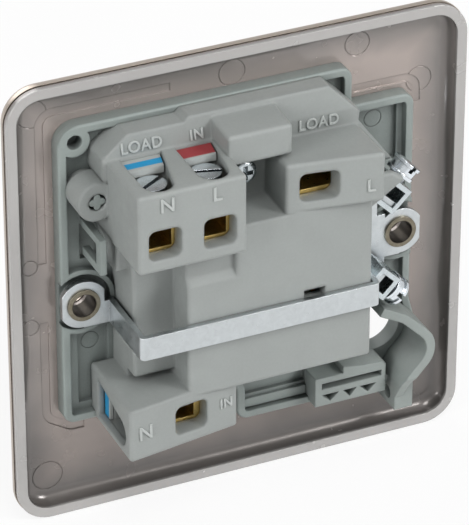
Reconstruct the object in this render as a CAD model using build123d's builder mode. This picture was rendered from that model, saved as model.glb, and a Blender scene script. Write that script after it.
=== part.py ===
from build123d import *
from math import cos, radians, sin
import os

os.makedirs("parts", exist_ok=True)

# A switched and fused connection unit for a wall box, in millimetres.
# X runs right and Z up as seen from the room, and Y runs into the wall box.
# The origin is the middle of the plate, in the plane of the wall.

# Front plate
plate_size = 86.0
plate_projection = 4.5
plate_corner = 6.5
plate_edge_round = 2.8
skin = 0.7
rim_step = 1.3

# Fixing holes
fixing_offset = 30.15
fixing_bore = 2.15
eyelet_wall = 0.35
eyelet_flange = 3.0
eyelet_flange_thick = 0.4
fit_gap = 0.05

# Plate liner
liner_gap = 0.15
liner_floor = 0.95
liner_rim = 1.15
liner_recess_corner = 4.4
liner_cove = 2.2
liner_lip_inset = 0.15
liner_opening_x = (-25.0, 25.0)
liner_opening_z = (-22.0, 26.0)
bead_width = 1.5
bead_height = 0.7

# Front moulding
flange_floor = 1.3
flange_rim = 1.5
flange_rim_height = 1.5
rim_round = 0.45
collar_proud = 0.4
collar_gap = 0.15
moulding_wall = 1.0
flange_left = 33.8
flange_right = -32.9
flange_top = 34.5
flange_notch = (-20.9, 26.8)
flange_foot = -32.4
flange_foot_left = (0.8, -24.4)
flange_corner = 2.2
flange_big_corner = 4.0
flange_small_corner = 1.0

# Middle height of the rocker and of the fuse
centre_z = 1.0

# Rocker and its switch
rocker_x = 9.2
rocker_width = 12.0
rocker_half_height = 11.2
rocker_pivot_y = -0.8
rocker_tilt = 7.0
rocker_gap_x = 0.3
rocker_gap_z = 1.0
rocker_stub = 1.4
running_gap = 0.08
rocker_well_depth = 1.6
pole_offset = 2.9
plunger_radius = 1.1
plunger_reach = 8.35
plunger_bore = 1.75
spring_radius = 1.3
spring_wire = 0.2
arm_width = 3.2
arm_half_length = 8.0
arm_thick = 0.8
arm_pivot_y = 8.6
arm_tilt = 8.0
tip_offset = 6.8
tip_radius = 1.2
tip_height = 0.7
fixed_tip_front = 10.4
fixed_tip_height = 0.35
link_thick = 0.8
link_front = 10.0
supply_link_thick = 0.7

# Fuse and its carrier
fuse_x = -8.2
fuse_y = 4.2
fuse_length = 25.4
fuse_cap_radius = 3.175
fuse_cap_length = 6.0
fuse_cap_wall = 0.2
carrier_half_width = 6.0
carrier_gap = 0.2
carrier_face_thick = 1.8
carrier_end_y = 11.2
carrier_cheek = 0.9
fuse_end_gap = 0.1
carrier_half_height = fuse_length / 2 + fuse_end_gap + carrier_cheek
shaft_depth = 3.2
clip_offset = 9.2
clip_width = 4.0
clip_gap = 0.3
clip_base_front = 9.2

# Rear cover
cover_wall = 1.2
terrace_back = 5.0
main_back = 14.0
main_ceiling = 11.6
main_x = (-18.4, 16.2)
main_z = (-15.2, 17.0)
step_back = 8.0
step_x = (14.0, 23.8)
step_z = (-12.6, 14.5)
upper_back = 18.5
upper_ceiling = 15.3
upper_x = (7.3, 27.0)
upper_z = (14.5, 29.5)
load_block_x = (-19.4, -2.1)
load_block_z = (17.0, 26.4)
load_block_back = (16.5, 13.7)
load_block_ceiling = 11.4
supply_block_x = (6.5, 28.0)
supply_block_z = (-24.2, -13.8)
supply_block_back = (12.6, 16.0)
supply_block_ceiling = 10.3
hood_x = (-4.3, 7.6)
hood_z = (27.2, 33.6)
hood_back = 11.5
cover_top = 34.2
cover_left_top = 33.4
edge_round = 0.6

# Terminals
terminal_half_width = 3.4
terminal_depth = 6.6
chamber_half_width = 2.5
terminal_pitch = 10.0
load_neutral_x = 22.2
wire_hole_width = 6.0
wire_hole_height = 5.8
wire_hole_round = 1.3
screw_head = 2.7
screw_head_height = 1.8
screw_shank = 1.75
screw_slot = 0.8
screw_travel = 2.0

# Earth strap
strap_thick = 1.0
strap_seat = 0.05
strap_z = (-4.6, -0.2)
strap_left_leg = 24.4
strap_right_leg = -18.6
strap_back = 15.2
ear_radius = 4.5
ear_flat = 3.9
ear_ring_radius = 6.3
ear_ring_wall = 0.9
clamp_wall = 0.9
clamp_y = (2.5, 8.5)
upper_clamp = (-24.9, 12.3)
upper_clamp_half = 2.6
lower_clamp = (-23.4, -5.1)
lower_clamp_half = 2.4

# Cord outlet
cord_hole_place = (-26.8, -20.5)
cord_hole_radius = 4.8

# Levels that follow from the sizes above
plate_front = -plate_projection
collar_front = plate_front - collar_proud
liner_front = plate_front + skin + fit_gap
liner_back = liner_front + liner_floor
floor_back = liner_back + flange_floor
rim_back = floor_back + flange_rim_height
cover_seat = rim_back + fit_gap
strap_front = strap_seat
strap_top = strap_seat + strap_thick


def wall_plane(depth):
    """A plane parallel to the plate at a depth: sketches on it are in X and Z."""
    return Plane.XZ.offset(-depth)


def block(x, y, z, mode=Mode.ADD):
    """A square block between two places along each axis."""
    middle = ((x[0] + x[1]) / 2, (y[0] + y[1]) / 2, (z[0] + z[1]) / 2)
    with Locations(middle):
        Box(x[1] - x[0], y[1] - y[0], z[1] - z[0], mode=mode)


def around(middle, half):
    """The two places that lie the same distance each side of a middle."""
    return (middle - half, middle + half)


def rod(start, direction, radius, length, mode=Mode.ADD):
    """A round rod from a start point along a direction."""
    with BuildSketch(Plane(origin=start, z_dir=direction)) as drawn:
        Circle(radius)
    extrude(drawn.sketch, amount=length, mode=mode)


def wall_prism(points, y, mode=Mode.ADD):
    """A prism between two depths from an outline in X and Z."""
    with BuildSketch(wall_plane(y[0])) as drawn:
        with BuildLine():
            Polyline(*points, close=True)
        make_face()
    extrude(drawn.sketch, amount=-(y[1] - y[0]), mode=mode)


def side_prism(points, x, mode=Mode.ADD):
    """A prism between two places along X from an outline in Y and Z."""
    with BuildSketch(Plane.YZ.offset(x[0])) as drawn:
        with BuildLine():
            Polyline(*points, close=True)
        make_face()
    extrude(drawn.sketch, amount=x[1] - x[0], mode=mode)


def plan_prism(points, z, mode=Mode.ADD):
    """A prism between two heights from an outline in X and Y."""
    with BuildSketch(Plane.XY.offset(z[0])) as drawn:
        with BuildLine():
            Polyline(*points, close=True)
        make_face()
    extrude(drawn.sketch, amount=z[1] - z[0], mode=mode)


def rounded_window(x, z, corner, y, mode=Mode.SUBTRACT):
    """A rectangle with round corners, in X and Z, between two depths."""
    with BuildSketch(wall_plane(y[0])) as drawn:
        with Locations(((x[0] + x[1]) / 2, (z[0] + z[1]) / 2)):
            RectangleRounded(x[1] - x[0], z[1] - z[0], corner)
    extrude(drawn.sketch, amount=-(y[1] - y[0]), mode=mode)


def tilted_plane(x, y, z, tilt):
    """A plane across X whose first direction is Y turned by the tilt."""
    angle = radians(tilt)
    return Plane(origin=(x, y, z), x_dir=(0, cos(angle), sin(angle)), z_dir=(1, 0, 0))


def save(part, name):
    """Names a finished piece and writes it."""
    part.part.label = name
    export_step(part.part, "parts/" + name + ".step")


# Openings in the plate for the rocker well and the fuse shaft
well_inner_x = around(rocker_x, rocker_width / 2 + rocker_gap_x)
well_inner_z = around(centre_z, rocker_half_height + rocker_gap_z)
well_outer_x = around(rocker_x, rocker_width / 2 + rocker_gap_x + moulding_wall)
well_outer_z = around(centre_z, rocker_half_height + rocker_gap_z + moulding_wall)
shaft_inner_x = around(fuse_x, carrier_half_width + carrier_gap)
shaft_inner_z = around(centre_z, carrier_half_height + carrier_gap)
shaft_outer_x = around(fuse_x, carrier_half_width + carrier_gap + moulding_wall)
shaft_outer_z = around(centre_z, carrier_half_height + carrier_gap + moulding_wall)
cord_collar = cord_hole_radius + moulding_wall
eyelet_radius = fixing_bore + eyelet_wall
fixing_places = [(fixing_offset, 0), (-fixing_offset, 0)]


def grown(places, gap):
    """Two places moved apart by a gap at each end."""
    return (places[0] - gap, places[1] + gap)


def dish(size, corner, front, back):
    """A flat square slab with round corners between two depths."""
    with BuildSketch(wall_plane(front)) as drawn:
        RectangleRounded(size, size, corner)
    extrude(drawn.sketch, amount=-(back - front))


# Front plate: one pressed sheet with rolled edges
with BuildPart() as plate_hollow:
    dish(plate_size - 2 * skin, plate_corner - skin, plate_front + skin, 1.0)
    fillet(plate_hollow.faces().sort_by(Axis.Y)[0].edges(), plate_edge_round - skin)
with BuildPart() as front_plate:
    dish(plate_size, plate_corner, plate_front, -rim_step)
    fillet(front_plate.faces().sort_by(Axis.Y)[0].edges(), plate_edge_round)
    add(plate_hollow.part, mode=Mode.SUBTRACT)
    with BuildSketch(wall_plane(plate_front)):
        with Locations(fixing_places):
            Circle(fixing_bore)
        with Locations(cord_hole_place):
            Circle(cord_collar + collar_gap)
    extrude(amount=-plate_projection, mode=Mode.SUBTRACT)
    through = (plate_front - 1, 0)
    block(grown(well_outer_x, collar_gap), through, grown(well_outer_z, collar_gap), Mode.SUBTRACT)
    block(grown(shaft_outer_x, collar_gap), through, grown(shaft_outer_z, collar_gap), Mode.SUBTRACT)
save(front_plate, "front_plate")

# Plate liner: a moulded tray that insulates the plate from the wall box
liner_size = plate_size - 2 * skin - 2 * liner_gap
liner_corner = plate_corner - skin - liner_gap
ejector_marks = [
    (37.2, 37.0, 2.7),
    (38.3, 7.2, 1.5),
    (38.5, -4.8, 1.6),
    (36.2, -36.0, 2.9),
    (0.6, 36.8, 2.5),
    (-23.0, 37.2, 2.4),
    (-35.0, 27.6, 2.5),
]
mark_depth = 0.12
mark_width = 0.15
beads = (
    [(36.0, 7.4), (36.0, 36.6), (12.0, 36.6)],
    [(36.0, -4.4), (36.0, -24.0), (31.4, -26.9), (29.0, -26.9)],
    [(-22.4, 28.4), (-34.6, 28.4), (-34.6, 23.4)],
)
bead_bend = 2.6
bead_round = 0.4
with BuildPart() as liner_recess:
    dish(liner_size - 2 * liner_rim, liner_recess_corner, liner_back, 1.0)
    fillet(liner_recess.faces().sort_by(Axis.Y)[0].edges(), liner_cove)
with BuildPart() as plate_liner:
    dish(liner_size, liner_corner, liner_front, 0)
    fillet(plate_liner.faces().sort_by(Axis.Y)[0].edges(), plate_edge_round - skin)
    # Lip that lies over the rear edge of the plate
    dish(plate_size - 2 * liner_lip_inset, plate_corner - liner_lip_inset, liner_gap - rim_step, 0)
    add(liner_recess.part, mode=Mode.SUBTRACT)
    for mark_x, mark_z, mark_radius in ejector_marks:
        with BuildSketch(wall_plane(liner_back - mark_depth)):
            with Locations((mark_x, mark_z)):
                Circle(mark_radius)
                Circle(mark_radius - mark_width, mode=Mode.SUBTRACT)
        extrude(amount=-2 * mark_depth, mode=Mode.SUBTRACT)
    # Rounded bead that follows the flange at the left and the top right
    for bead in beads:
        with BuildSketch(wall_plane(liner_back - 2 * mark_depth)) as bead_outline:
            with BuildLine():
                FilletPolyline(*bead, radius=bead_bend)
            trace(line_width=bead_width)
        extrude(bead_outline.sketch, amount=-(bead_height + 2 * mark_depth))
    bead_tops = plate_liner.faces().filter_by(Plane.XZ).filter_by_position(
        Axis.Y, liner_back + bead_height - 0.01, liner_back + bead_height + 0.01
    )
    fillet(bead_tops.edges(), bead_round)
    block(liner_opening_x, (liner_front - 1, 0), liner_opening_z, Mode.SUBTRACT)
    with BuildSketch(wall_plane(liner_front - 1)):
        with Locations(fixing_places):
            Circle(fixing_bore + liner_gap)
        with Locations(cord_hole_place):
            Circle(cord_collar + 2 * collar_gap)
    extrude(amount=-plate_projection, mode=Mode.SUBTRACT)
save(plate_liner, "plate_liner")

# Outline of the flange, from the top left of the rear view and round by the top right
flange_outline = [
    (flange_left, flange_top),
    (flange_notch[0], flange_top),
    flange_notch,
    (flange_right, flange_notch[1]),
    (flange_right, -15.0),
    (-34.6, -21.5),
    (-34.6, -28.5),
    (-31.5, flange_foot),
    (flange_foot_left[0], flange_foot),
    flange_foot_left,
    (flange_left, flange_foot_left[1]),
]
flange_radii = [flange_big_corner, flange_corner, flange_small_corner]
flange_radii += [flange_corner] * (len(flange_outline) - len(flange_radii))
stake_place = (29.0, 22.4)
stake_back = 5.5
boss_ring_place = (30.7, 31.5)
boss_ring_radius = 2.8
boss_ring_hole = 1.35
cover_screw_place = (2.4, 22.5)
cover_screw_shank = 1.4
pocket_depth = 0.9


def flange_sketch(depth, inset):
    """The flange outline, drawn in by an inset, on a plane at a depth."""
    with BuildSketch(wall_plane(depth)) as drawn:
        with BuildLine():
            FilletPolyline(*flange_outline, radius=flange_radii, close=True)
        make_face()
        if inset > 0:
            offset(amount=-inset, kind=Kind.INTERSECTION, mode=Mode.REPLACE)
    return drawn


# Front moulding: a tray with a rim, the rocker well, the fuse shaft and the cord collar
with BuildPart() as front_moulding:
    outer = flange_sketch(liner_back, 0)
    extrude(outer.sketch, amount=-(flange_floor + flange_rim_height))
    fillet(front_moulding.faces().sort_by(Axis.Y)[-1].edges(), rim_round)
    inner = flange_sketch(floor_back, flange_rim)
    extrude(inner.sketch, amount=-flange_rim_height, mode=Mode.SUBTRACT)
    front_body_x = grown(liner_opening_x, -collar_gap)
    front_body_z = grown(liner_opening_z, -collar_gap)
    block(front_body_x, (liner_front, liner_back), front_body_z)
    rod(
        (cord_hole_place[0], collar_front, cord_hole_place[1]),
        (0, 1, 0),
        cord_collar,
        -collar_front + floor_back,
    )
    block(well_outer_x, (collar_front, rocker_well_depth), well_outer_z)
    block(shaft_outer_x, (collar_front, shaft_depth), shaft_outer_z)
    # Pads under the strap's ears
    for place in fixing_places:
        ring_y = (floor_back, rim_back)
        rod((place[0], ring_y[0], place[1]), (0, 1, 0), ear_ring_radius, ring_y[1] - ring_y[0])
        rod((place[0], ring_y[0], place[1]), (0, 1, 0), ear_ring_radius - ear_ring_wall, 5, Mode.SUBTRACT)
    for beyond in ((flange_left, flange_left + 5), (flange_right - 5, flange_right)):
        block(beyond, ring_y, (-8, 8), Mode.SUBTRACT)
    for place in fixing_places:
        rod((place[0], liner_back, place[1]), (0, 1, 0), ear_radius - 1, strap_front - liner_back)
    # Ring boss in the corner, the staked pin and the pillar for the cover's screw
    rod(
        (boss_ring_place[0], floor_back, boss_ring_place[1]), (0, 1, 0), boss_ring_radius, flange_rim_height
    )
    with BuildSketch(wall_plane(floor_back)):
        with Locations(stake_place):
            Circle(0.9)
            with PolarLocations(0.85, 4):
                Circle(0.62)
    extrude(amount=-(stake_back - 0.1 - floor_back))
    pillar_y = terrace_back - cover_wall - 0.1
    rod((cover_screw_place[0], floor_back, cover_screw_place[1]), (0, 1, 0), 2.8, pillar_y - floor_back)
    # Snap loop beside the upper terminals
    block((28.3, 29.5), (floor_back, 7.5), (9.2, 16.0))
    block((28.0, 30.0), (floor_back, 5.7), (10.7, 14.6), Mode.SUBTRACT)
    # Pockets that show in the tray's floor, each with a moulding mark
    pocket_y = (floor_back - pocket_depth, floor_back + 1)
    block((26.4, 29.6), pocket_y, (7.7, 14.7), Mode.SUBTRACT)
    block((24.8, 30.4), pocket_y, (-21.4, -6.6), Mode.SUBTRACT)
    block((-30.2, -20.0), pocket_y, (13.6, 24.4), Mode.SUBTRACT)
    block((-13.0, 5.0), pocket_y, (-28.2, -25.6), Mode.SUBTRACT)
    for mark in ((27.8, -9.6), (-26.0, 22.0)):
        with BuildSketch(wall_plane(pocket_y[0] - mark_depth)):
            with Locations(mark):
                Circle(1.7)
                Circle(1.7 - mark_width, mode=Mode.SUBTRACT)
        extrude(amount=-2 * mark_depth, mode=Mode.SUBTRACT)
    # Rail along the foot of the tray
    block((-13.0, 1.8), (floor_back, floor_back + 0.7), (-30.6, -28.8))
    # Holes
    block(well_inner_x, (collar_front - 1, rocker_well_depth + 1), well_inner_z, Mode.SUBTRACT)
    block(shaft_inner_x, (collar_front - 1, shaft_depth + 1), shaft_inner_z, Mode.SUBTRACT)
    with BuildSketch(wall_plane(collar_front - 1)):
        with Locations(fixing_places):
            Circle(eyelet_radius + fit_gap)
        with Locations(cord_hole_place):
            Circle(cord_hole_radius)
    extrude(amount=-(strap_front - collar_front + 2), mode=Mode.SUBTRACT)
    rod(
        (boss_ring_place[0], floor_back - pocket_depth, boss_ring_place[1]),
        (0, 1, 0),
        boss_ring_hole,
        4,
        Mode.SUBTRACT,
    )
    rod(
        (cover_screw_place[0], floor_back, cover_screw_place[1]),
        (0, 1, 0),
        cover_screw_shank + fit_gap,
        pillar_y - floor_back + 1,
        Mode.SUBTRACT,
    )
    rod(
        (well_outer_x[0] - 1, rocker_pivot_y, centre_z),
        (1, 0, 0),
        rocker_stub + running_gap,
        well_outer_x[1] - well_outer_x[0] + 2,
        Mode.SUBTRACT,
    )
save(front_moulding, "front_moulding")

# Rear cover: its outline at the seat, from the top left of the rear view and round by the top right
cover_outline = [
    (22.9, cover_left_top),
    (12.6, cover_left_top),
    (11.6, cover_top),
    (-14.5, cover_top),
    (-19.9, 28.8),
    (-19.7, 26.9),
    (-26.2, 17.9),
    (load_block_x[0], 17.9),
    (load_block_x[0], load_block_z[0]),
    (main_x[0], load_block_z[0]),
    (main_x[0], main_z[0]),
    (supply_block_x[0], main_z[0]),
    (supply_block_x[0], supply_block_z[0]),
    (supply_block_x[1], supply_block_z[0]),
    (supply_block_x[1], supply_block_z[1]),
    (step_x[1], supply_block_z[1]),
    (step_x[1], 8.5),
    (26.2, 8.5),
    (26.2, upper_z[0]),
    (upper_x[1], upper_z[0]),
    (upper_x[1], 24.0),
    (27.8, 26.3),
    (27.8, 29.9),
]


def cover_sketch(depth, inset):
    """The cover's outline, drawn in by an inset, on a plane at a depth."""
    with BuildSketch(wall_plane(depth)) as drawn:
        with BuildLine():
            Polyline(*cover_outline, close=True)
        make_face()
        if inset > 0:
            offset(amount=-inset, kind=Kind.INTERSECTION, mode=Mode.REPLACE)
    return drawn


def angled_block(x, back, z, wall, ceiling, seat, mode):
    """A block whose rear face leans from one side to the other, or its hollow."""
    points = [(x[0], seat), (x[1], seat), (x[1], back[1]), (x[0], back[0])]
    if wall > 0:
        points = [(x[0] + wall, seat), (x[1] - wall, seat), (x[1] - wall, ceiling), (x[0] + wall, ceiling)]
    plan_prism(points, grown(z, -wall), mode)


supply_live_x = load_neutral_x - terminal_pitch
wire_hole_z = (16.8, 16.8 + wire_hole_height)
supply_hole_x = (12.6, 19.0)
supply_hole_z = (-22.0, -16.2)
load_hole_x = (-11.5, -4.4)
load_hole_z = (18.9, 24.4)
upper_screw_y = 11.9
supply_screw_y = 7.3
supply_screw_z = -19.2
load_screw_y = 8.0
load_screw_z = 21.7
upper_cavity_z = (15.7, upper_z[1] - cover_wall)
flag_seat = 27.65
flag_back = 9.0
flag_sunk = 0.45
flag_gap = 0.3
supply_flag_seat = 26.1
window_half = 2.6
window_side = 2.9
window_front = terrace_back + 0.25
window_back = 14.9
window_floor = 26.6
window_leans = (("load_neutral", load_neutral_x, 2.1), ("supply_live", supply_live_x, 1.4))


def window_edge(middle, lean, depth):
    """Where the leaning side of a screwdriver window lies along X at a depth."""
    return middle - window_side - lean * (window_back - depth) / (window_back - window_front)



sharp_places = [(1.65, main_back, main_z[1]), (7.6, 11.5, 31.2), (21.7, 15.0, -13.8), (7.3, 16.25, 14.5)]

with BuildPart() as rear_cover:
    with BuildSketch(wall_plane(cover_seat)):
        with BuildLine():
            Polyline(*cover_outline, close=True)
        make_face()
    extrude(amount=-(terrace_back - cover_seat))
    # Foot of the cover, inside the flange's rim
    inside_rim = flange_sketch(floor_back, flange_rim + 0.1)
    with BuildSketch(wall_plane(floor_back)) as foot:
        with BuildLine():
            Polyline(*cover_outline, close=True)
        make_face()
        add(inside_rim.sketch, mode=Mode.INTERSECT)
    extrude(amount=-(cover_seat - floor_back))
    # Sloping panel at the top, which holds the words over the terminals
    panel_foot = (terrace_back, upper_z[1])
    panel_top = (terrace_back - 1.0, cover_top)
    above_panel = (terrace_back + 2.0, cover_top + 1.0)
    side_prism(
        [panel_foot, panel_top, above_panel, (above_panel[0], upper_z[1])], (-30.0, 30.0), Mode.SUBTRACT
    )
    block(main_x, (floor_back, main_back), main_z)
    block(step_x, (floor_back, step_back), step_z)
    block((step_x[1], 26.2), (floor_back, 6.5), (8.5, upper_z[0]))
    angled_block(supply_block_x, supply_block_back, supply_block_z, 0, 0, cover_seat, Mode.ADD)
    angled_block(load_block_x, load_block_back, load_block_z, 0, 0, floor_back, Mode.ADD)
    side_prism(
        [
            (cover_seat, hood_z[0]),
            (hood_back, hood_z[0]),
            (hood_back, hood_z[1] - 0.7),
            (cover_seat, hood_z[1]),
        ],
        hood_x,
    )
    block(upper_x, (floor_back, upper_back), upper_z)
    # Shallow step under the upper terminals and the roof over the upper earth clamp
    side_prism(
        [(13.0, 14.5), (13.0, 8.6), (14.0, 6.9), (15.0, 6.9), (15.0, 14.5)], (7.3, 16.3), Mode.SUBTRACT
    )
    wall_prism([(-18.3, 11.2), (-18.3, 18.4), (-23.8, 18.4), (-26.4, 16.6)], (9.0, 10.6))
    # Soft edges round the rear faces, apart from four where two blocks meet
    outer_edges = [edge for edge in rear_cover.edges() if edge.center().Y > 5.3 and not edge.is_interior]
    for place in sharp_places:
        outer_edges = [edge for edge in outer_edges if (edge.center() - Vector(*place)).length > 0.4]
    fillet(outer_edges, edge_round)
    # Ear that the staked pin holds
    rod((stake_place[0], cover_seat, stake_place[1]), (0, 1, 0), 3.6, stake_back - cover_seat)
    rod((stake_place[0], floor_back, stake_place[1]), (0, 1, 0), 2.9, stake_back - floor_back)
    block((25.9, stake_place[0]), (cover_seat, 4.6), (19.0, 25.6))
    rod((stake_place[0], floor_back - 1, stake_place[1]), (0, 1, 0), 1.6, 8, Mode.SUBTRACT)
    # Hollows, open towards the plate
    inner = cover_sketch(floor_back, cover_wall)
    extrude(inner.sketch, amount=-(terrace_back - cover_wall - floor_back), mode=Mode.SUBTRACT)
    main_inner_x = grown(main_x, -cover_wall)
    main_inner_foot = main_z[0] + cover_wall
    block(main_inner_x, (floor_back, main_ceiling), (main_inner_foot, upper_z[0]), Mode.SUBTRACT)
    block(
        (main_inner_x[0], 0.0),
        (floor_back, main_ceiling),
        (upper_z[0] - 1, main_z[1] - cover_wall),
        Mode.SUBTRACT,
    )
    block(
        (main_x[1], step_x[1] - cover_wall),
        (floor_back, step_back - cover_wall),
        grown(step_z, -cover_wall),
        Mode.SUBTRACT,
    )
    block(
        (load_neutral_x - 3.9, upper_x[1] - cover_wall),
        (floor_back, upper_ceiling),
        upper_cavity_z,
        Mode.SUBTRACT,
    )
    block(
        (upper_x[0] + cover_wall, supply_live_x + 3.8),
        (floor_back, upper_ceiling),
        upper_cavity_z,
        Mode.SUBTRACT,
    )
    block(
        grown(load_block_x, -cover_wall),
        (floor_back, load_block_ceiling),
        grown(load_block_z, -cover_wall),
        Mode.SUBTRACT,
    )
    block(
        grown(hood_x, -cover_wall),
        (floor_back, hood_back - cover_wall),
        (hood_z[0] + cover_wall, 31.9),
        Mode.SUBTRACT,
    )
    block(
        grown(supply_block_x, -cover_wall),
        (floor_back, supply_block_ceiling),
        grown(supply_block_z, -cover_wall),
        Mode.SUBTRACT,
    )
    # Shelf that carries the coloured flag of the lower block
    block((22.6, supply_flag_seat), (1.0, 3.8), grown(supply_block_z, -1))
    # Screwdriver windows with one round end
    for name, middle, lean in window_leans:
        window = [
            (middle + window_half, window_front),
            (middle - window_side - lean, window_front),
            (middle - window_side, window_back),
            (middle + window_half, window_back),
        ]
        plan_prism(window, (window_floor, upper_z[1] + 1), Mode.SUBTRACT)
        round_end = (window_half + window_side) / 2
        rod(
            (middle + window_half - round_end, window_back, window_floor),
            (0, 0, 1),
            round_end,
            4,
            Mode.SUBTRACT,
        )
    # Shelf that carries the coloured flags of the upper block
    block((upper_x[0] + 1, upper_x[1] - 1), (3.9, flag_back - 1.0), (window_floor - 1.1, flag_seat))
    side_prism([(1.5, -22.9), (11.2, -22.9), (11.2, -17.5), (1.5, -15.5)], (26.0, 29.0), Mode.SUBTRACT)
    rod((26.0, 11.2, -20.2), (1, 0, 0), 2.7, 3, Mode.SUBTRACT)
    rod((load_block_x[0] - 1, load_screw_y, load_screw_z), (1, 0, 0), screw_head + 0.3, 2.5, Mode.SUBTRACT)
    # Wire holes
    for middle in (load_neutral_x, supply_live_x):
        rounded_window(around(middle, wire_hole_width / 2), wire_hole_z, wire_hole_round, (14.0, 20.0))
    rounded_window(supply_hole_x, supply_hole_z, wire_hole_round, (9.0, 18.0))
    rounded_window(load_hole_x, load_hole_z, wire_hole_round, (10.0, 18.0))
    # Slot behind the fuse, and the hole for the cover's screw
    block((-9.5, -5.5), (main_ceiling - 1, main_back + 1), (-1.0, 1.1), Mode.SUBTRACT)
    rod(
        (cover_screw_place[0], 0, cover_screw_place[1]),
        (0, 1, 0),
        cover_screw_shank + 0.15,
        8,
        Mode.SUBTRACT,
    )
    # Passages for the links between the hollows
    block((8.9, 10.3), (5.2, 8.0), (14.0, 16.2), Mode.SUBTRACT)
    block((10.4, 13.9), (10.4, main_ceiling), (14.0, 16.2), Mode.SUBTRACT)
    block((15.0, 19.0), (5.2, 8.3), (15.7, 18.6), Mode.SUBTRACT)
    block((13.7, 15.0), (8.3, main_ceiling), (-15.2, -13.0), Mode.SUBTRACT)
    block((13.7, 15.0), (8.3, supply_block_ceiling), (-16.0, -15.0), Mode.SUBTRACT)
    block((-17.0, -12.4), (9.7, 11.1), (15.0, 18.6), Mode.SUBTRACT)
save(rear_cover, "rear_cover")

# Screw that holds the cover, in the deep pocket
with BuildPart() as cover_screw:
    rod(
        (cover_screw_place[0], floor_back + 0.2, cover_screw_place[1]),
        (0, 1, 0),
        cover_screw_shank,
        terrace_back - floor_back,
    )
    rod((cover_screw_place[0], terrace_back, cover_screw_place[1]), (0, 1, 0), 2.3, 2.0)
    fillet(cover_screw.faces().sort_by(Axis.Y)[-1].edges(), 0.8)
    recess_y = (terrace_back + 0.9, terrace_back + 3)
    for half_x, half_z in ((1.4, screw_slot / 2), (screw_slot / 2, 1.4)):
        block(
            around(cover_screw_place[0], half_x),
            recess_y,
            around(cover_screw_place[1], half_z),
            Mode.SUBTRACT,
        )
save(cover_screw, "cover_screw")

# Earth strap: one folded strip with an ear at each end and two tabs for the clamps
upper_along = Vector(-1, 0, 1).normalized()
lower_along = Vector(-1, 0, -1).normalized()


def slanted_plane(middle, along, depth):
    """A plane parallel to the plate whose first direction is the slanted one."""
    return Plane(origin=(middle[0], depth, middle[1]), x_dir=along, z_dir=(0, -1, 0))


with BuildPart() as earth_strap:
    with BuildSketch(wall_plane(strap_front)):
        with Locations(fixing_places):
            Circle(ear_radius)
        with Locations(fixing_places):
            Rectangle(2 * ear_flat, 2 * ear_radius, mode=Mode.INTERSECT)
    extrude(amount=-strap_thick)
    strap_y = (strap_front, strap_top)
    left_leg = (strap_left_leg, strap_left_leg + strap_thick)
    right_leg = (strap_right_leg - strap_thick, strap_right_leg)
    block((left_leg[0], fixing_offset), strap_y, strap_z)
    block(left_leg, (strap_front, strap_back), strap_z)
    block((right_leg[0], left_leg[1]), (strap_back - strap_thick, strap_back), strap_z)
    block(right_leg, (strap_front, strap_back), strap_z)
    block((-fixing_offset, right_leg[1]), strap_y, strap_z)
    block((-27.2, -21.0), strap_y, (-6.5, 4.2))
    block((-25.6, -22.4), strap_y, (4.0, 13.0))
    for bend_x in (left_leg[1], right_leg[0]):
        bend = earth_strap.edges().filter_by(Axis.Z).sort_by_distance((bend_x, strap_back, -2))[0]
        fillet(bend, strap_thick)
    for middle, along, half in (
        (upper_clamp, upper_along, upper_clamp_half),
        (lower_clamp, lower_along, lower_clamp_half),
    ):
        with BuildSketch(slanted_plane(middle, along, strap_front)):
            with Locations((clamp_wall + strap_thick / 2 - half, 0)):
                Rectangle(strap_thick, 2 * (half - clamp_wall) - 0.2)
        extrude(amount=-(clamp_y[1] - 0.4 - strap_front))
    with BuildSketch(wall_plane(strap_front)):
        with Locations(fixing_places):
            Circle(eyelet_radius + fit_gap)
    extrude(amount=-strap_thick, mode=Mode.SUBTRACT)
save(earth_strap, "earth_strap")

# Eyelets that line the two fixing holes
with BuildPart() as fixing_eyelets:
    for place in fixing_places:
        rod((place[0], liner_back + 0.1, place[1]), (0, 1, 0), eyelet_radius, strap_top - liner_back - 0.1)
        rod((place[0], strap_top, place[1]), (0, 1, 0), eyelet_flange, eyelet_flange_thick)
    for place in fixing_places:
        rod((place[0], liner_back - 1, place[1]), (0, 1, 0), fixing_bore, 8, Mode.SUBTRACT)
save(fixing_eyelets, "fixing_eyelets")

# Earth clamps and their screws
earth_head = 2.7
earth_head_height = 2.7
earth_head_rim = 0.3
earth_rim_height = 0.6
earth_shank = 1.6
earth_travel = 0.8
clamp_middle_y = (clamp_y[0] + clamp_y[1]) / 2
for name, middle, along, half in (
    ("upper", upper_clamp, upper_along, upper_clamp_half),
    ("lower", lower_clamp, lower_along, lower_clamp_half),
):
    centre = Vector(middle[0], clamp_middle_y, middle[1])
    with BuildPart() as earth_clamp:
        with BuildSketch(slanted_plane(middle, along, clamp_y[0])):
            Rectangle(2 * half, 2 * half)
            Rectangle(2 * (half - clamp_wall), 2 * (half - clamp_wall), mode=Mode.SUBTRACT)
        extrude(amount=-(clamp_y[1] - clamp_y[0]))
        rod(centre, along, earth_shank + fit_gap, half + 1, Mode.SUBTRACT)
    save(earth_clamp, name + "_earth_clamp")
    seat = centre + along * (half + earth_travel + 0.1)
    tip = centre + along * (2 * clamp_wall + strap_thick - half + 2 * earth_travel)
    with BuildPart() as earth_screw:
        rod(tip, along, earth_shank, (seat - tip).length)
        rod(seat, along, earth_head - earth_head_rim, earth_head_height)
        for rim_start in (0, earth_head_height - earth_rim_height):
            rod(seat + along * rim_start, along, earth_head, earth_rim_height)
        with BuildSketch(Plane(origin=seat + along * earth_head_height, x_dir=(0, 1, 0), z_dir=along)):
            Rectangle(2 * earth_head + 1, screw_slot)
        extrude(amount=-earth_head_height / 2, mode=Mode.SUBTRACT)
    save(earth_screw, name + "_earth_screw")

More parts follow.
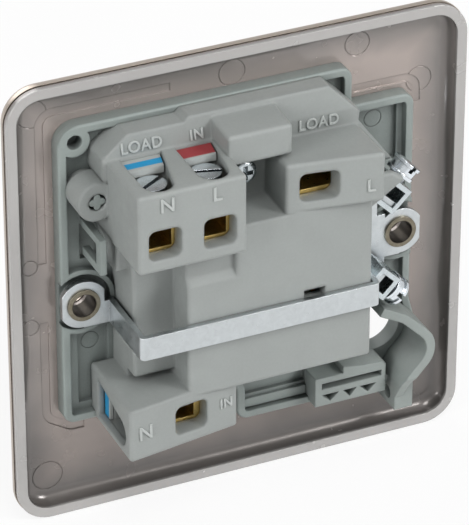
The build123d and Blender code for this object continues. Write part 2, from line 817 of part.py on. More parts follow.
# Terminals: brass cages with a chamber for the wire
upper_cage_z = (15.8, 24.0)
upper_chamber_z = (17.3, 22.8)
upper_cage_y = (upper_ceiling - 0.1 - terminal_depth, upper_ceiling - 0.1)
screw_shift = 0.3
for name, middle in (("load_neutral", load_neutral_x), ("supply_live", supply_live_x)):
    with BuildPart() as terminal:
        block(around(middle, terminal_half_width), upper_cage_y, upper_cage_z)
        block(around(middle, chamber_half_width), grown(upper_cage_y, 1), upper_chamber_z, Mode.SUBTRACT)
        rod((middle - screw_shift, upper_screw_y, 20.0), (0, 0, 1), screw_shank + fit_gap, 6, Mode.SUBTRACT)
    save(terminal, name + "_terminal")
supply_cage_x = (12.2, 22.0)
supply_cage_y = (4.0, supply_block_ceiling - 0.1)
supply_cage_z = (-22.6, -15.9)
with BuildPart() as supply_neutral_terminal:
    block(supply_cage_x, supply_cage_y, supply_cage_z)
    block((13.7, 19.4), grown(supply_cage_y, 1), grown(supply_cage_z, -1.1), Mode.SUBTRACT)
    rod((18.0, supply_screw_y, supply_screw_z), (1, 0, 0), screw_shank + fit_gap, 6, Mode.SUBTRACT)
save(supply_neutral_terminal, "supply_neutral_terminal")
load_cage_x = (-15.2, -3.6)
load_cage_y = (4.8, load_block_ceiling - 0.1)
load_cage_z = (18.4, 25.0)
with BuildPart() as load_live_terminal:
    block(load_cage_x, load_cage_y, load_cage_z)
    block((-13.7, -5.0), grown(load_cage_y, 1), grown(load_cage_z, -1.2), Mode.SUBTRACT)
    rod((-10.0, load_screw_y, load_screw_z), (-1, 0, 0), screw_shank + fit_gap, 6, Mode.SUBTRACT)
save(load_live_terminal, "load_live_terminal")

# Terminal screws, backed off by their travel: under side of the head, way out of the head, shank, slot
head_gap = screw_travel + 0.1
terminal_screws = (
    (
        "load_neutral_screw",
        (load_neutral_x - screw_shift, upper_screw_y, upper_cage_z[1] + head_gap),
        (0, 0, 1),
        4.4,
        (1, 0.6, 0),
    ),
    (
        "supply_live_screw",
        (supply_live_x - screw_shift, upper_screw_y, upper_cage_z[1] + head_gap),
        (0, 0, 1),
        4.4,
        (1, -0.3, 0),
    ),
    (
        "supply_neutral_screw",
        (supply_cage_x[1] + head_gap, supply_screw_y, supply_screw_z),
        (1, 0, 0),
        5.9,
        (0, 0.4, 1),
    ),
    (
        "load_live_screw",
        (load_cage_x[0] - head_gap, load_screw_y, load_screw_z),
        (-1, 0, 0),
        5.8,
        (0, 1, 1),
    ),
)
for name, seat, out, shank, slot in terminal_screws:
    with BuildPart() as terminal_screw:
        rod(seat, (-out[0], -out[1], -out[2]), screw_shank, shank)
        rod(seat, out, screw_head, screw_head_height)
        top = Vector(*seat) + Vector(*out) * screw_head_height
        with BuildSketch(Plane(origin=top, x_dir=slot, z_dir=out)):
            Rectangle(2 * screw_head + 1, screw_slot)
        extrude(amount=-screw_head_height / 2, mode=Mode.SUBTRACT)
    save(terminal_screw, name)

# Coloured flags beside the terminals
for name, middle, lean in window_leans:
    with BuildPart() as flag:
        outline = [
            (middle + window_half - fit_gap, window_front + fit_gap),
            (middle - window_side - lean + flag_gap, window_front + fit_gap),
            (window_edge(middle, lean, flag_back) + flag_gap, flag_back),
            (middle + window_half - fit_gap, flag_back),
        ]
        plan_prism(outline, (flag_seat + fit_gap, upper_z[1] - flag_sunk))
    save(flag, name + "_flag")
with BuildPart() as supply_neutral_flag:
    block(
        (supply_flag_seat + fit_gap, supply_block_x[1] - cover_wall - fit_gap), (1.6, 3.8), (-22.8, -15.8)
    )
save(supply_neutral_flag, "supply_neutral_flag")

# Rocker, at rest with its top pressed in
rocker_profile = [
    (-6.2, -rocker_half_height),
    (-4.3, 0),
    (-6.2, rocker_half_height),
    (-3.0, rocker_half_height),
    (-1.4, 4.6),
    (4.0, 3.0),
    (4.0, -3.0),
    (-1.4, -4.6),
    (-3.0, -rocker_half_height),
]
rocker_side = rocker_x - rocker_width / 2
rocker_plane = tilted_plane(rocker_side, rocker_pivot_y, centre_z, -rocker_tilt)
rocker_rearward = Vector(0, cos(radians(rocker_tilt)), -sin(radians(rocker_tilt)))
plunger_places = (rocker_x - pole_offset, rocker_x + pole_offset)


def rocker_point(x, reach):
    """A point on the rocker's middle line, a reach behind its pivot."""
    return Vector(x, rocker_pivot_y, centre_z) + rocker_rearward * reach


with BuildPart() as rocker:
    with BuildSketch(rocker_plane):
        with BuildLine():
            Polyline(*rocker_profile, close=True)
        make_face()
    extrude(amount=rocker_width)
    with BuildSketch(rocker_plane.offset(moulding_wall)):
        for side in (1, -1):
            with BuildLine():
                Polyline(
                    (-4.6, side * (rocker_half_height - moulding_wall)),
                    (-3.4, side * 4.8),
                    (0.0, side * 6.0),
                    (0.0, side * (rocker_half_height - moulding_wall)),
                    close=True,
                )
            make_face()
    extrude(amount=rocker_width - 2 * moulding_wall, mode=Mode.SUBTRACT)
    stub_reach = rocker_width / 2 + rocker_gap_x + moulding_wall - 0.1
    rod((rocker_x - stub_reach, rocker_pivot_y, centre_z), (1, 0, 0), rocker_stub, 2 * stub_reach)
    for x in plunger_places:
        rod(rocker_point(x, -2.2), rocker_rearward, plunger_bore, 8, Mode.SUBTRACT)
save(rocker, "rocker")

# Sprung plungers that ride in the rocker and press on the contact arms
with BuildPart() as rocker_plungers:
    for x in plunger_places:
        rod(rocker_point(x, 1.3), rocker_rearward, plunger_radius, plunger_reach - plunger_radius - 1.3)
        rod(rocker_point(x, 1.3), rocker_rearward, plunger_bore - running_gap, 1.2)
        with Locations(rocker_point(x, plunger_reach - plunger_radius)):
            Sphere(plunger_radius)
save(rocker_plungers, "rocker_plungers")

with BuildPart() as plunger_springs:
    for x in plunger_places:
        start = rocker_point(x, -2.2 + spring_wire)
        with BuildLine() as coil:
            Helix(pitch=0.62, height=3.1, radius=spring_radius, center=start, direction=rocker_rearward)
        with BuildSketch(Plane(origin=coil.line @ 0, z_dir=coil.line % 0)):
            Circle(spring_wire)
        sweep(path=coil.line, is_frenet=True)
save(plunger_springs, "plunger_springs")

# Contact arms: each rocks on the ridge of its link, at rest with its upper end lifted
arm_rearward = Vector(0, cos(radians(arm_tilt)), sin(radians(arm_tilt)))
arm_upward = Vector(0, -sin(radians(arm_tilt)), cos(radians(arm_tilt)))
arm_profile = [
    (-arm_thick, -arm_half_length),
    (0, -arm_half_length),
    (0, arm_half_length),
    (-arm_thick, arm_half_length),
]
for name, x in (("live", plunger_places[0]), ("neutral", plunger_places[1])):
    with BuildPart() as contact_arm:
        with BuildSketch(tilted_plane(x - arm_width / 2, arm_pivot_y, centre_z, arm_tilt)):
            with BuildLine():
                Polyline(*arm_profile, close=True)
            make_face()
        extrude(amount=arm_width)
    save(contact_arm, name + "_contact_arm")
    with BuildPart() as contact_tip:
        rod(
            Vector(x, arm_pivot_y, centre_z) + arm_upward * tip_offset, arm_rearward, tip_radius, tip_height
        )
    save(contact_tip, name + "_contact_tip")

# Fixed contact tips
fixed_tip_back = fixed_tip_front + fixed_tip_height
with BuildPart() as fixed_contact_tips:
    for x in plunger_places:
        rod((x, fixed_tip_front, centre_z + tip_offset), (0, 1, 0), tip_radius, fixed_tip_height)
save(fixed_contact_tips, "fixed_contact_tips")

# Links
supply_link_y = (fixed_tip_back, fixed_tip_back + supply_link_thick)
link_y = (link_front, link_front + link_thick)
live_x = around(plunger_places[0], arm_width / 2)
neutral_x = around(plunger_places[1], arm_width / 2)
tip_z = around(centre_z + tip_offset, 1.1)


def ridge(x):
    """The ridge that a contact arm rocks on."""
    edge = arm_pivot_y + fit_gap
    side_prism([(link_front, centre_z - 1.2), (edge, centre_z), (link_front, centre_z + 1.2)], x)


with BuildPart() as live_supply_link:
    block(live_x, supply_link_y, (tip_z[0], 13.9))
    block((live_x[0], 13.6), supply_link_y, (11.6, 13.9))
    block((11.0, 13.6), supply_link_y, (11.6, upper_cage_z[0]))
save(live_supply_link, "live_supply_link")

with BuildPart() as neutral_supply_link:
    block((neutral_x[0], 14.8), supply_link_y, tip_z)
    block((14.0, 14.8), (8.6, supply_block_ceiling - 0.1), (supply_cage_z[1], tip_z[1]))
    block((14.0, 14.8), (8.6, supply_link_y[1]), (-14.9, tip_z[1]))
save(neutral_supply_link, "neutral_supply_link")

clip_lower_z = around(centre_z - clip_offset, clip_width / 2)
clip_upper_z = around(centre_z + clip_offset, clip_width / 2)
with BuildPart() as live_switch_link:
    block((1.4, live_x[1]), link_y, around(centre_z, 1.2))
    ridge(live_x)
    block((1.4, 3.8), link_y, (clip_lower_z[0], centre_z + 1.2))
    block((-6.0, 3.8), link_y, clip_lower_z)
save(live_switch_link, "live_switch_link")

with BuildPart() as neutral_switch_link:
    block((9.2, neutral_x[1]), link_y, around(centre_z, 1.2))
    ridge(neutral_x)
    block((9.2, 10.0), (5.6, link_y[1]), around(centre_z, 1.2))
    block((9.2, 10.0), (5.6, 7.6), (centre_z - 1.2, 18.0))
    block((9.2, 23.6), (5.6, 6.4), (16.2, 18.0))
    block((20.4, 23.6), (5.6, upper_cage_y[0]), (16.2, 17.2))
save(neutral_switch_link, "neutral_switch_link")

with BuildPart() as load_link:
    block((-16.6, -6.0), link_y, clip_upper_z)
    block((-16.6, -12.8), link_y, (clip_upper_z[0], load_cage_z[0]))
save(load_link, "load_link")

# Fuse clips: a base with two blades beside the fuse's end cap
blade_inner = fuse_cap_radius + clip_gap
clip_base_back = link_front
for name, clip_z in (("lower", clip_lower_z), ("upper", clip_upper_z)):
    with BuildPart() as fuse_clip:
        block(around(fuse_x, blade_inner + link_thick), (clip_base_front, clip_base_back), clip_z)
        for side in (1, -1):
            blade = sorted((fuse_x + side * blade_inner, fuse_x + side * (blade_inner + link_thick)))
            block(blade, (fuse_y - 1.4, clip_base_front), clip_z)
    save(fuse_clip, name + "_fuse_clip")

# Fuse carrier: a drawer that pulls out towards the room
arm_gap = 0.15
cradle_half = fuse_cap_radius - fuse_cap_wall + arm_gap
cradle_z = around(centre_z, 4.5)
with BuildPart() as fuse_carrier:
    face_back = collar_front + carrier_face_thick
    block(
        around(fuse_x, carrier_half_width), (collar_front, face_back), around(centre_z, carrier_half_height)
    )
    block(around(fuse_x, cradle_half), (face_back, fuse_y - cradle_half), cradle_z)
    for side in (1, -1):
        arm = sorted((fuse_x + side * cradle_half, fuse_x + side * (cradle_half + carrier_cheek)))
        block(arm, (face_back, fuse_y + 2.2), cradle_z)
        cheek = sorted(
            (centre_z + side * (carrier_half_height - carrier_cheek), centre_z + side * carrier_half_height)
        )
        block(around(fuse_x, 3.0), (face_back, carrier_end_y), cheek)
    # Notch for a screwdriver
    block(
        around(fuse_x, 2.5),
        (collar_front - 1, collar_front + 1.0),
        (centre_z + 8.2, centre_z + 9.6),
        Mode.SUBTRACT,
    )
save(fuse_carrier, "fuse_carrier")

# Cartridge fuse
cap_end = fuse_length / 2
tube_radius = fuse_cap_radius - fuse_cap_wall
with BuildPart() as fuse_tube:
    tube_half = cap_end - 0.5
    rod((fuse_x, fuse_y, centre_z - tube_half), (0, 0, 1), tube_radius - 0.02, 2 * tube_half)
save(fuse_tube, "fuse_tube")
with BuildPart() as fuse_caps:
    for side in (1, -1):
        rod(
            (fuse_x, fuse_y, centre_z + side * (cap_end - fuse_cap_length)),
            (0, 0, side),
            fuse_cap_radius,
            fuse_cap_length,
        )
        rod(
            (fuse_x, fuse_y, centre_z + side * (cap_end - fuse_cap_length - 1)),
            (0, 0, side),
            tube_radius,
            fuse_cap_length + 0.5,
            Mode.SUBTRACT,
        )
save(fuse_caps, "fuse_caps")

# Cord guide: a curved wall round the cord hole, a lip, a lattice box and a post
guide_wall = 1.7
guide_bend = 4.5
guide_back = 7.6
guide_seat = floor_back + fit_gap
lattice_x = (-27.0, -13.1)
lattice_z = (-31.5, -25.7)
lattice_back = 3.0
post_x = (-31.9, -28.3)
guide_path = [(-23.8, -11.7), (-28.4, -14.2), (-35.3, -21.2), (-29.15, -28.0), (-29.15, -34.6)]


def guide_sketch(depth):
    """The curved wall of the guide, on a plane at a depth."""
    with BuildSketch(wall_plane(depth)) as drawn:
        with BuildLine():
            FilletPolyline(*guide_path, radius=guide_bend)
        trace(line_width=guide_wall)
    return drawn


with BuildPart() as cord_guide:
    wall_outline = guide_sketch(cover_seat)
    extrude(wall_outline.sketch, amount=-(guide_back - cover_seat))
    # The wall slopes down along the post
    slope = [
        (guide_back, -27.3), (3.2, -34.4), (3.2, -36.0), (guide_back + 1, -36.0), (guide_back + 1, -27.3)
    ]
    side_prism(slope, (-36.0, -26.0), Mode.SUBTRACT)
    # Foot of the wall, inside the flange's rim
    wall_foot = guide_sketch(guide_seat)
    with BuildSketch(wall_plane(guide_seat)):
        add(wall_foot.sketch)
        add(inside_rim.sketch.moved(Location((0, guide_seat - floor_back, 0))), mode=Mode.INTERSECT)
    extrude(amount=-(cover_seat - guide_seat))
    block(post_x, (cover_seat, 4.2), (-35.4, -29.6))
    block(post_x, (liner_back + 0.1, cover_seat), (-35.4, flange_foot - 0.1))
    block(lattice_x, (cover_seat, lattice_back), lattice_z)
    block((post_x[1], lattice_x[0]), (cover_seat, 1.2), (-30.8, -29.6))
    foot_z = flange_foot + flange_rim + 0.1
    block(lattice_x, (guide_seat, cover_seat), (foot_z, lattice_z[1]))
    lip = [(-18.6, -25.8), (-18.6, -24.4), (-22.4, -25.0), (-26.6, -25.2), (-26.6, -26.6)]
    wall_prism(lip, (guide_seat, lattice_back))
    block((-26.2, -14.4), (guide_seat + 0.8, 4.0), (-28.1, -26.9), Mode.SUBTRACT)
    lattice_teeth = ((-25.2, -21.9), (-21.3, -18.6), (-17.8, -14.4))
    for tooth in lattice_teeth:
        middle = (tooth[0] + tooth[1]) / 2
        wall_prism(
            [(tooth[0], -29.3), (tooth[1], -29.3), (middle, -30.8)], (cover_seat + 0.8, 4.0), Mode.SUBTRACT
        )
    rod((post_x[0] - 1, 1.2, -33.0), (1, 0, 0), 1.3, 8, Mode.SUBTRACT)
save(cord_guide, "cord_guide")
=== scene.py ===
import math

import bpy
from mathutils import Matrix, Vector


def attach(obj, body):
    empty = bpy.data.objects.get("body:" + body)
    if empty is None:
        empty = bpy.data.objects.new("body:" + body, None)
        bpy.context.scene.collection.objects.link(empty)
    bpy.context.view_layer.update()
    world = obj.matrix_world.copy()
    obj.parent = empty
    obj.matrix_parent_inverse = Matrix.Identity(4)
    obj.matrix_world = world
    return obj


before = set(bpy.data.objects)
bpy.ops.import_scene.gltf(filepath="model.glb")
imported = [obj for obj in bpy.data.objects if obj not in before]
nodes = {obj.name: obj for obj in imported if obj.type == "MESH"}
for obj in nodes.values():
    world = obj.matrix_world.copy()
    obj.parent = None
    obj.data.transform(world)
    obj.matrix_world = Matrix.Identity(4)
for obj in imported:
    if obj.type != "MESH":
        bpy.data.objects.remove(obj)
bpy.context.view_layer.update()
MM = 0.001
# Half the distance between the fixing holes
EYELET_X = 30.15


# Materials
def linear(hex_colour):
    """A written screen colour as linear light."""
    out = []
    for start in (0, 2, 4):
        value = int(hex_colour[start : start + 2], 16) / 255
        out.append(value / 12.92 if value <= 0.04045 else ((value + 0.055) / 1.055) ** 2.4)
    return out


class Nodes:
    """Small helper for building a material's nodes."""

    def __init__(self, name):
        self.material = bpy.data.materials.new(name)
        self.material.use_nodes = True
        self.tree = self.material.node_tree
        self.shader = self.tree.nodes["Principled BSDF"]
        self.output = self.tree.nodes["Material Output"]
        self.place = self.tree.nodes.new("ShaderNodeTexCoord").outputs["Object"]

    def link(self, a, b):
        self.tree.links.new(a, b)

    def noise(self, size_mm, detail=3.0, rough=0.5, stretch=(1, 1, 1), warp=0.0):
        """Noise whose features are about that many millimetres across."""
        mapping = self.tree.nodes.new("ShaderNodeMapping")
        mapping.inputs["Scale"].default_value = [1 / (size_mm * MM * s) for s in stretch]
        self.link(self.place, mapping.inputs["Vector"])
        noise = self.tree.nodes.new("ShaderNodeTexNoise")
        noise.inputs["Scale"].default_value = 1.0
        noise.inputs["Detail"].default_value = detail
        noise.inputs["Roughness"].default_value = rough
        noise.inputs["Distortion"].default_value = warp
        self.link(mapping.outputs[0], noise.inputs["Vector"])
        return noise.outputs["Fac"]

    def spread(self, value, low, high, start=0.3, end=0.7):
        """The value drawn out between low and high."""
        node = self.tree.nodes.new("ShaderNodeMapRange")
        node.inputs["From Min"].default_value = start
        node.inputs["From Max"].default_value = end
        node.inputs["To Min"].default_value = low
        node.inputs["To Max"].default_value = high
        self.link(value, node.inputs["Value"])
        return node.outputs["Result"]

    def join(self, operation, *values):
        """A sum, product or like joining of values."""
        node = self.tree.nodes.new("ShaderNodeMath")
        node.operation = operation
        for socket, value in zip(node.inputs, values):
            if isinstance(value, (int, float)):
                socket.default_value = value
            else:
                self.link(value, socket)
        return node.outputs[0]

    def mix(self, factor, a, b, blend="MIX"):
        node = self.tree.nodes.new("ShaderNodeMix")
        node.data_type = "RGBA"
        node.blend_type = blend
        for socket, value in ((node.inputs[0], factor), (node.inputs[6], a), (node.inputs[7], b)):
            if isinstance(value, (int, float)):
                socket.default_value = value
            elif isinstance(value, (list, tuple)):
                socket.default_value = (*value, 1) if len(value) == 3 else value
            else:
                self.link(value, socket)
        return node.outputs[2]

    def rounded(self, radius_mm):
        """A normal that softens the sharp edges."""
        bevel = self.tree.nodes.new("ShaderNodeBevel")
        bevel.samples = 6
        bevel.inputs["Radius"].default_value = radius_mm * MM
        return bevel.outputs["Normal"]

    def bump(self, height, strength, distance_mm, normal=None):
        node = self.tree.nodes.new("ShaderNodeBump")
        node.inputs["Strength"].default_value = strength
        node.inputs["Distance"].default_value = distance_mm * MM
        self.link(height, node.inputs["Height"])
        if normal is not None:
            self.link(normal, node.inputs["Normal"])
        return node.outputs["Normal"]


def plastic(
    name,
    colour,
    roughness,
    round_mm,
    grain,
    variation,
    coat=0.0,
    painted_shade=None,
    bands=(),
):
    """Moulded plastic: a faint cloudy tone, a fine mould grain and softened edges."""
    n = Nodes(name)
    base = linear(colour)
    darker = [c * (1 - variation) for c in base]
    lighter = [c * (1 + variation) for c in base]
    cloudy = n.spread(n.noise(7, 3, 0.55, warp=0.6), 0, 1)
    tone = n.mix(cloudy, darker, lighter)
    speck = n.spread(n.noise(0.5, 2, 0.6), 0.98, 1.02)
    speck_colour = n.tree.nodes.new("ShaderNodeCombineColor")
    for channel in range(3):
        n.link(speck, speck_colour.inputs[channel])
    tone = n.mix(1.0, tone, speck_colour.outputs[0], "MULTIPLY")
    # Painted bands: a colour, an axis and the two places that it lies between
    for band_colour, axis, start, end in bands:
        apart = n.tree.nodes.new("ShaderNodeSeparateXYZ")
        n.link(n.place, apart.inputs[0])
        rise = n.spread(apart.outputs[axis], 0, 1, (start - 0.03) * MM, (start + 0.03) * MM)
        fall = n.spread(apart.outputs[axis], 1, 0, (end - 0.03) * MM, (end + 0.03) * MM)
        tone = n.mix(n.join("MULTIPLY", rise, fall), tone, linear(band_colour))
    # Painted shade: where given, the tone darkens where other surfaces stand close
    if painted_shade is not None:
        tone = painted_crevice_shade(n, tone, painted_shade, 7.0)
    n.link(tone, n.shader.inputs["Base Color"])
    n.link(n.spread(n.noise(2.2, 3, 0.6), roughness - 0.06, roughness + 0.08), n.shader.inputs["Roughness"])
    fine = n.bump(n.noise(0.3, 2, 0.5), grain * 0.25, 0.02, n.rounded(round_mm) if round_mm else None)
    wavy = n.bump(n.noise(6.0, 2, 0.5), 0.08, 0.1, fine)
    n.link(wavy, n.shader.inputs["Normal"])
    if coat:
        n.shader.inputs["Coat Weight"].default_value = coat
        n.shader.inputs["Coat Roughness"].default_value = 0.12
    return n.material


def painted_crevice_shade(n, tone, painted_shade, reach_mm):
    """The tone with painted shade: darker where other surfaces stand close round a point."""
    shade = n.tree.nodes.new("ShaderNodeAmbientOcclusion")
    shade.samples = 6
    shade.inputs["Distance"].default_value = reach_mm * MM
    return n.mix(n.spread(shade.outputs["AO"], painted_shade, 1.0, 0.1, 0.75), (0, 0, 0), tone)


def metal(name, colour, roughness, round_mm, mottle_mm, variation, strength=0.25, painted_shade=None):
    """Plated or bare metal: a mottled tone and roughness with a faint grain."""
    n = Nodes(name)
    base = linear(colour)
    darker = [c * (1 - variation) for c in base]
    lighter = [min(1, c * (1 + variation)) for c in base]
    mottle = n.spread(n.noise(mottle_mm, 4, 0.6, warp=0.8), 0, 1)
    tone = n.mix(mottle, darker, lighter)
    # Painted shade: where given, the tone darkens where other surfaces stand close
    if painted_shade is not None:
        tone = painted_crevice_shade(n, tone, painted_shade, 5.0)
    n.link(tone, n.shader.inputs["Base Color"])
    n.shader.inputs["Metallic"].default_value = 1.0
    uneven = n.noise(mottle_mm * 0.6, 3, 0.6)
    n.link(n.spread(uneven, roughness * 0.75, roughness * 1.3), n.shader.inputs["Roughness"])
    grain = n.bump(n.noise(0.6, 3, 0.5), strength * 0.4, 0.018, n.rounded(round_mm))
    n.link(grain, n.shader.inputs["Normal"])
    return n.material


# The last number given here sets how dark the painted shade in crevices goes
cover_grey = plastic("cover_grey", "8B8F8D", 0.42, 0.8, 0.3, 0.03, painted_shade=0.8)
tray_grey = plastic("tray_grey", "858D8A", 0.44, 0.4, 0.3, 0.04, painted_shade=0.35)
guide_grey = plastic("guide_grey", "888F8C", 0.42, 0.4, 0.3, 0.04, painted_shade=0.6)
flag_grey = "9DA19F"
blue = "1786B5"
upper_blue = plastic("flag_blue", flag_grey, 0.38, 0.1, 0.2, 0.04, bands=[(blue, "Y", 6.35, 8.1)])
upper_red = plastic("flag_red", flag_grey, 0.4, 0.1, 0.2, 0.04, bands=[("8E3236", "Y", 5.0, 8.5)])
lower_blue = plastic("lower_flag_blue", flag_grey, 0.38, 0.1, 0.2, 0.04, bands=[(blue, "Y", 1.0, 3.3)])
rocker_white = plastic("rocker_white", "ECEBE6", 0.28, 0.4, 0.1, 0.015, coat=0.2)
carrier_white = plastic("carrier_white", "EBEAE4", 0.3, 0.4, 0.12, 0.015, coat=0.2)
plunger_white = plastic("plunger_white", "D9D7CF", 0.4, 0.1, 0.15, 0.03)
ceramic = plastic("fuse_ceramic", "E6E0D2", 0.2, 0.1, 0.05, 0.03, coat=0.5)
# The last number given here sets how dark the painted shade in crevices goes
zinc = metal("strap_zinc", "C9CED0", 0.36, 0.2, 1.4, 0.06, strength=0.12, painted_shade=0.3)
zinc_bright = metal("screw_zinc", "E6ECF1", 0.2, 0.15, 1.2, 0.05, strength=0.1, painted_shade=0.3)
clamp_zinc = metal("clamp_zinc", "CBD3D6", 0.24, 0.15, 0.9, 0.08, strength=0.15, painted_shade=0.4)
brass = metal("terminal_brass", "EFD083", 0.34, 0.12, 1.2, 0.08)
copper = metal("link_copper", "C98A5A", 0.34, 0.1, 1.5, 0.1)
steel = metal("spring_steel", "B9BBBE", 0.28, 0.05, 0.5, 0.08)
silver = metal("contact_silver", "E4E3E0", 0.25, 0.05, 0.5, 0.05)


def eyelet_material():
    """Dull bronze, with painted shade that makes it nearly black inside the bore."""
    n = Nodes("eyelet_bronze")
    apart = n.tree.nodes.new("ShaderNodeSeparateXYZ")
    n.link(n.place, apart.inputs[0])
    across = n.join("SUBTRACT", n.join("ABSOLUTE", apart.outputs["X"]), EYELET_X * MM)
    squares = n.join("ADD", n.join("POWER", across, 2), n.join("POWER", apart.outputs["Z"], 2))
    radius = n.join("SQRT", squares)
    mottle = n.mix(n.spread(n.noise(0.9, 3, 0.6), 0, 1), linear("777060"), linear("8C8678"))
    # Painted shade: the bore's inner wall is coloured nearly black
    bore_shade = n.spread(radius, 1, 0, 2.2 * MM, 2.3 * MM)
    n.link(n.mix(bore_shade, mottle, linear("37332E")), n.shader.inputs["Base Color"])
    n.shader.inputs["Metallic"].default_value = 1.0
    n.link(n.spread(n.noise(0.6, 3, 0.6), 0.28, 0.42), n.shader.inputs["Roughness"])
    n.link(n.bump(n.noise(0.5, 3, 0.5), 0.1, 0.02, n.rounded(0.15)), n.shader.inputs["Normal"])
    return n.material


bronze = eyelet_material()


def plate_material():
    """Satin metal with fine brushed lines from side to side."""
    n = Nodes("plate_metal")
    lines = n.noise(0.14, 2, 0.5, stretch=(220, 1, 1))
    broad = n.noise(30, 2, 0.5)
    tone = n.mix(n.spread(lines, 0, 1, 0.25, 0.75), linear("AFA499"), linear("BAAFA4"))
    tone = n.mix(n.spread(broad, 0, 0.3), tone, linear("B4A89D"))
    n.link(tone, n.shader.inputs["Base Color"])
    n.shader.inputs["Metallic"].default_value = 1.0
    n.link(n.spread(lines, 0.26, 0.36, 0.25, 0.75), n.shader.inputs["Roughness"])
    n.link(n.bump(lines, 0.12, 0.01), n.shader.inputs["Normal"])
    return n.material


plate_metal = plate_material()


def liner_material():
    """Glossy tinted plastic over metal: warm grey, with painted reflection that darkens it where it curves up
    to the rim.
    """
    n = Nodes("liner_gloss")
    apart = n.tree.nodes.new("ShaderNodeSeparateXYZ")
    n.link(n.place, apart.inputs[0])
    # How far out towards the plate's edge a point lies
    sideways = n.join("ABSOLUTE", apart.outputs["X"])
    outward = n.join("MAXIMUM", sideways, n.join("ABSOLUTE", apart.outputs["Z"]))
    # Painted reflection: the tone darkens from warm grey towards the plate's edge
    cloudy = n.spread(n.noise(16, 2, 0.5, warp=1.0), -0.0012, 0.0012)
    painted_reflection = n.spread(n.join("ADD", outward, cloudy), 0, 1, 0.0330, 0.0388)
    tone = n.mix(painted_reflection, linear("A89D97"), linear("85807D"))
    # Painted shade: darker towards the foot and the cord side
    low = n.spread(apart.outputs["Z"], 0.45, 1.0, -0.040, -0.004)
    side = n.spread(apart.outputs["X"], 0.88, 1.2, -0.038, 0.038)
    tone = n.mix(n.join("MULTIPLY", low, side), (0, 0, 0), tone)
    # Painted reflection: the dark curve inside the rim; painted highlight: the lighter rim
    curve = n.spread(apart.outputs["Y"], 1.0, 0.0, -0.0019, -0.0010)
    curve = n.join("MULTIPLY", curve, n.spread(outward, 0, 1, 0.0390, 0.0402))
    rim_highlight = n.spread(apart.outputs["Y"], 0.0, 1.0, -0.0007, -0.0001)
    shaded = n.mix(curve, tone, linear("67625F"))
    n.link(n.mix(rim_highlight, shaded, linear("A9A7A5")), n.shader.inputs["Base Color"])
    n.shader.inputs["Metallic"].default_value = 0.4
    n.link(n.spread(n.noise(4, 2, 0.5), 0.2, 0.28), n.shader.inputs["Roughness"])
    n.link(n.bump(n.noise(10, 2, 0.5), 0.06, 0.2, n.rounded(0.25)), n.shader.inputs["Normal"])
    n.shader.inputs["Coat Weight"].default_value = 0.4
    n.shader.inputs["Coat Roughness"].default_value = 0.1
    return n.material


liner = liner_material()

painted = {
    "front_plate": plate_metal,
    "plate_liner": liner,
    "front_moulding": tray_grey,
    "rear_cover": cover_grey,
    "cord_guide": guide_grey,
    "earth_strap": zinc,
    "fixing_eyelets": bronze,
    "cover_screw": clamp_zinc,
    "upper_earth_clamp": clamp_zinc,
    "lower_earth_clamp": clamp_zinc,
    "load_neutral_terminal": brass,
    "supply_live_terminal": brass,
    "supply_neutral_terminal": brass,
    "load_live_terminal": brass,
    "load_neutral_flag": upper_blue,
    "supply_live_flag": upper_red,
    "supply_neutral_flag": lower_blue,
    "rocker": rocker_white,
    "rocker_plungers": plunger_white,
    "plunger_springs": steel,
    "fuse_carrier": carrier_white,
    "fuse_tube": ceramic,
    "fuse_caps": zinc_bright,
}
for name, piece in nodes.items():
    material = painted.get(name)
    if material is None:
        if "link" in name or "clip" in name or "arm" in name:
            material = copper
        elif "tip" in name:
            material = silver
        else:
            material = zinc_bright
    piece.data.materials.clear()
    piece.data.materials.append(material)

# Raised marks
LEFT = Vector((-1, 0, 0))
UP = Vector((0, 0, 1))


def mark(name, word, place, height, across=LEFT, up=UP, material=cover_grey, rise=0.24, squeeze=1.0):
    """A raised word: place is the middle of its foot on the face, in millimetres."""
    curve = bpy.data.curves.new(name, "FONT")
    curve.body = word
    curve.size = height * MM / 0.69
    curve.align_x = "CENTER"
    curve.extrude = rise * MM / 2
    curve.bevel_depth = 0.05 * MM
    curve.bevel_resolution = 1
    curve.space_character = 1.08
    curve.materials.append(material)
    piece = bpy.data.objects.new(name, curve)
    bpy.context.scene.collection.objects.link(piece)
    across = across.normalized()
    out = across.cross(up).normalized()
    up = out.cross(across).normalized()
    turn = Matrix((across * squeeze, up, out)).transposed().to_4x4()
    foot = Vector(place) * MM + out * (rise / 2 - 0.02) * MM
    piece.matrix_world = Matrix.Translation(foot) @ turn
    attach(piece, "base")
    return piece


# Painted highlight: the raised letters get a lighter grey than the cover face round them
mark_highlight_grey = plastic("mark_highlight_grey", "A6AAA8", 0.4, 0.0, 0.1, 0.02)
panel_up = Vector((0, -1.0, 4.7))


def on_panel(x, z):
    """A point on the sloping panel over the terminals."""
    return (x, 5.0 - (z - 29.5) / 4.7, z)


mark("word_load_left", "LOAD", on_panel(20.6, 30.2), 1.95, up=panel_up, material=mark_highlight_grey, squeeze=0.95)
mark("word_in_top", "IN", on_panel(10.5, 30.1), 1.8, up=panel_up, material=mark_highlight_grey, squeeze=0.95)
mark("word_load_right", "LOAD", (-12.1, 5.0, 27.3), 1.95, material=mark_highlight_grey, squeeze=0.95)
mark("letter_n_top", "N", (21.8, 18.5, 26.0), 2.5, material=mark_highlight_grey)
mark("letter_l_top", "L", (12.8, 18.5, 26.0), 2.5, material=mark_highlight_grey)


def block_back(x, ends, backs):
    """Depth of a leaning rear face at a place along X."""
    return backs[0] + (backs[1] - backs[0]) * (x - ends[0]) / (ends[1] - ends[0])


load_lean = Vector((-1, 0.162, 0))
supply_lean = Vector((-1, -0.158, 0))


def lean_place(x, z, ends, backs):
    """A point on a leaning rear face."""
    return (x, block_back(x, ends, backs), z)


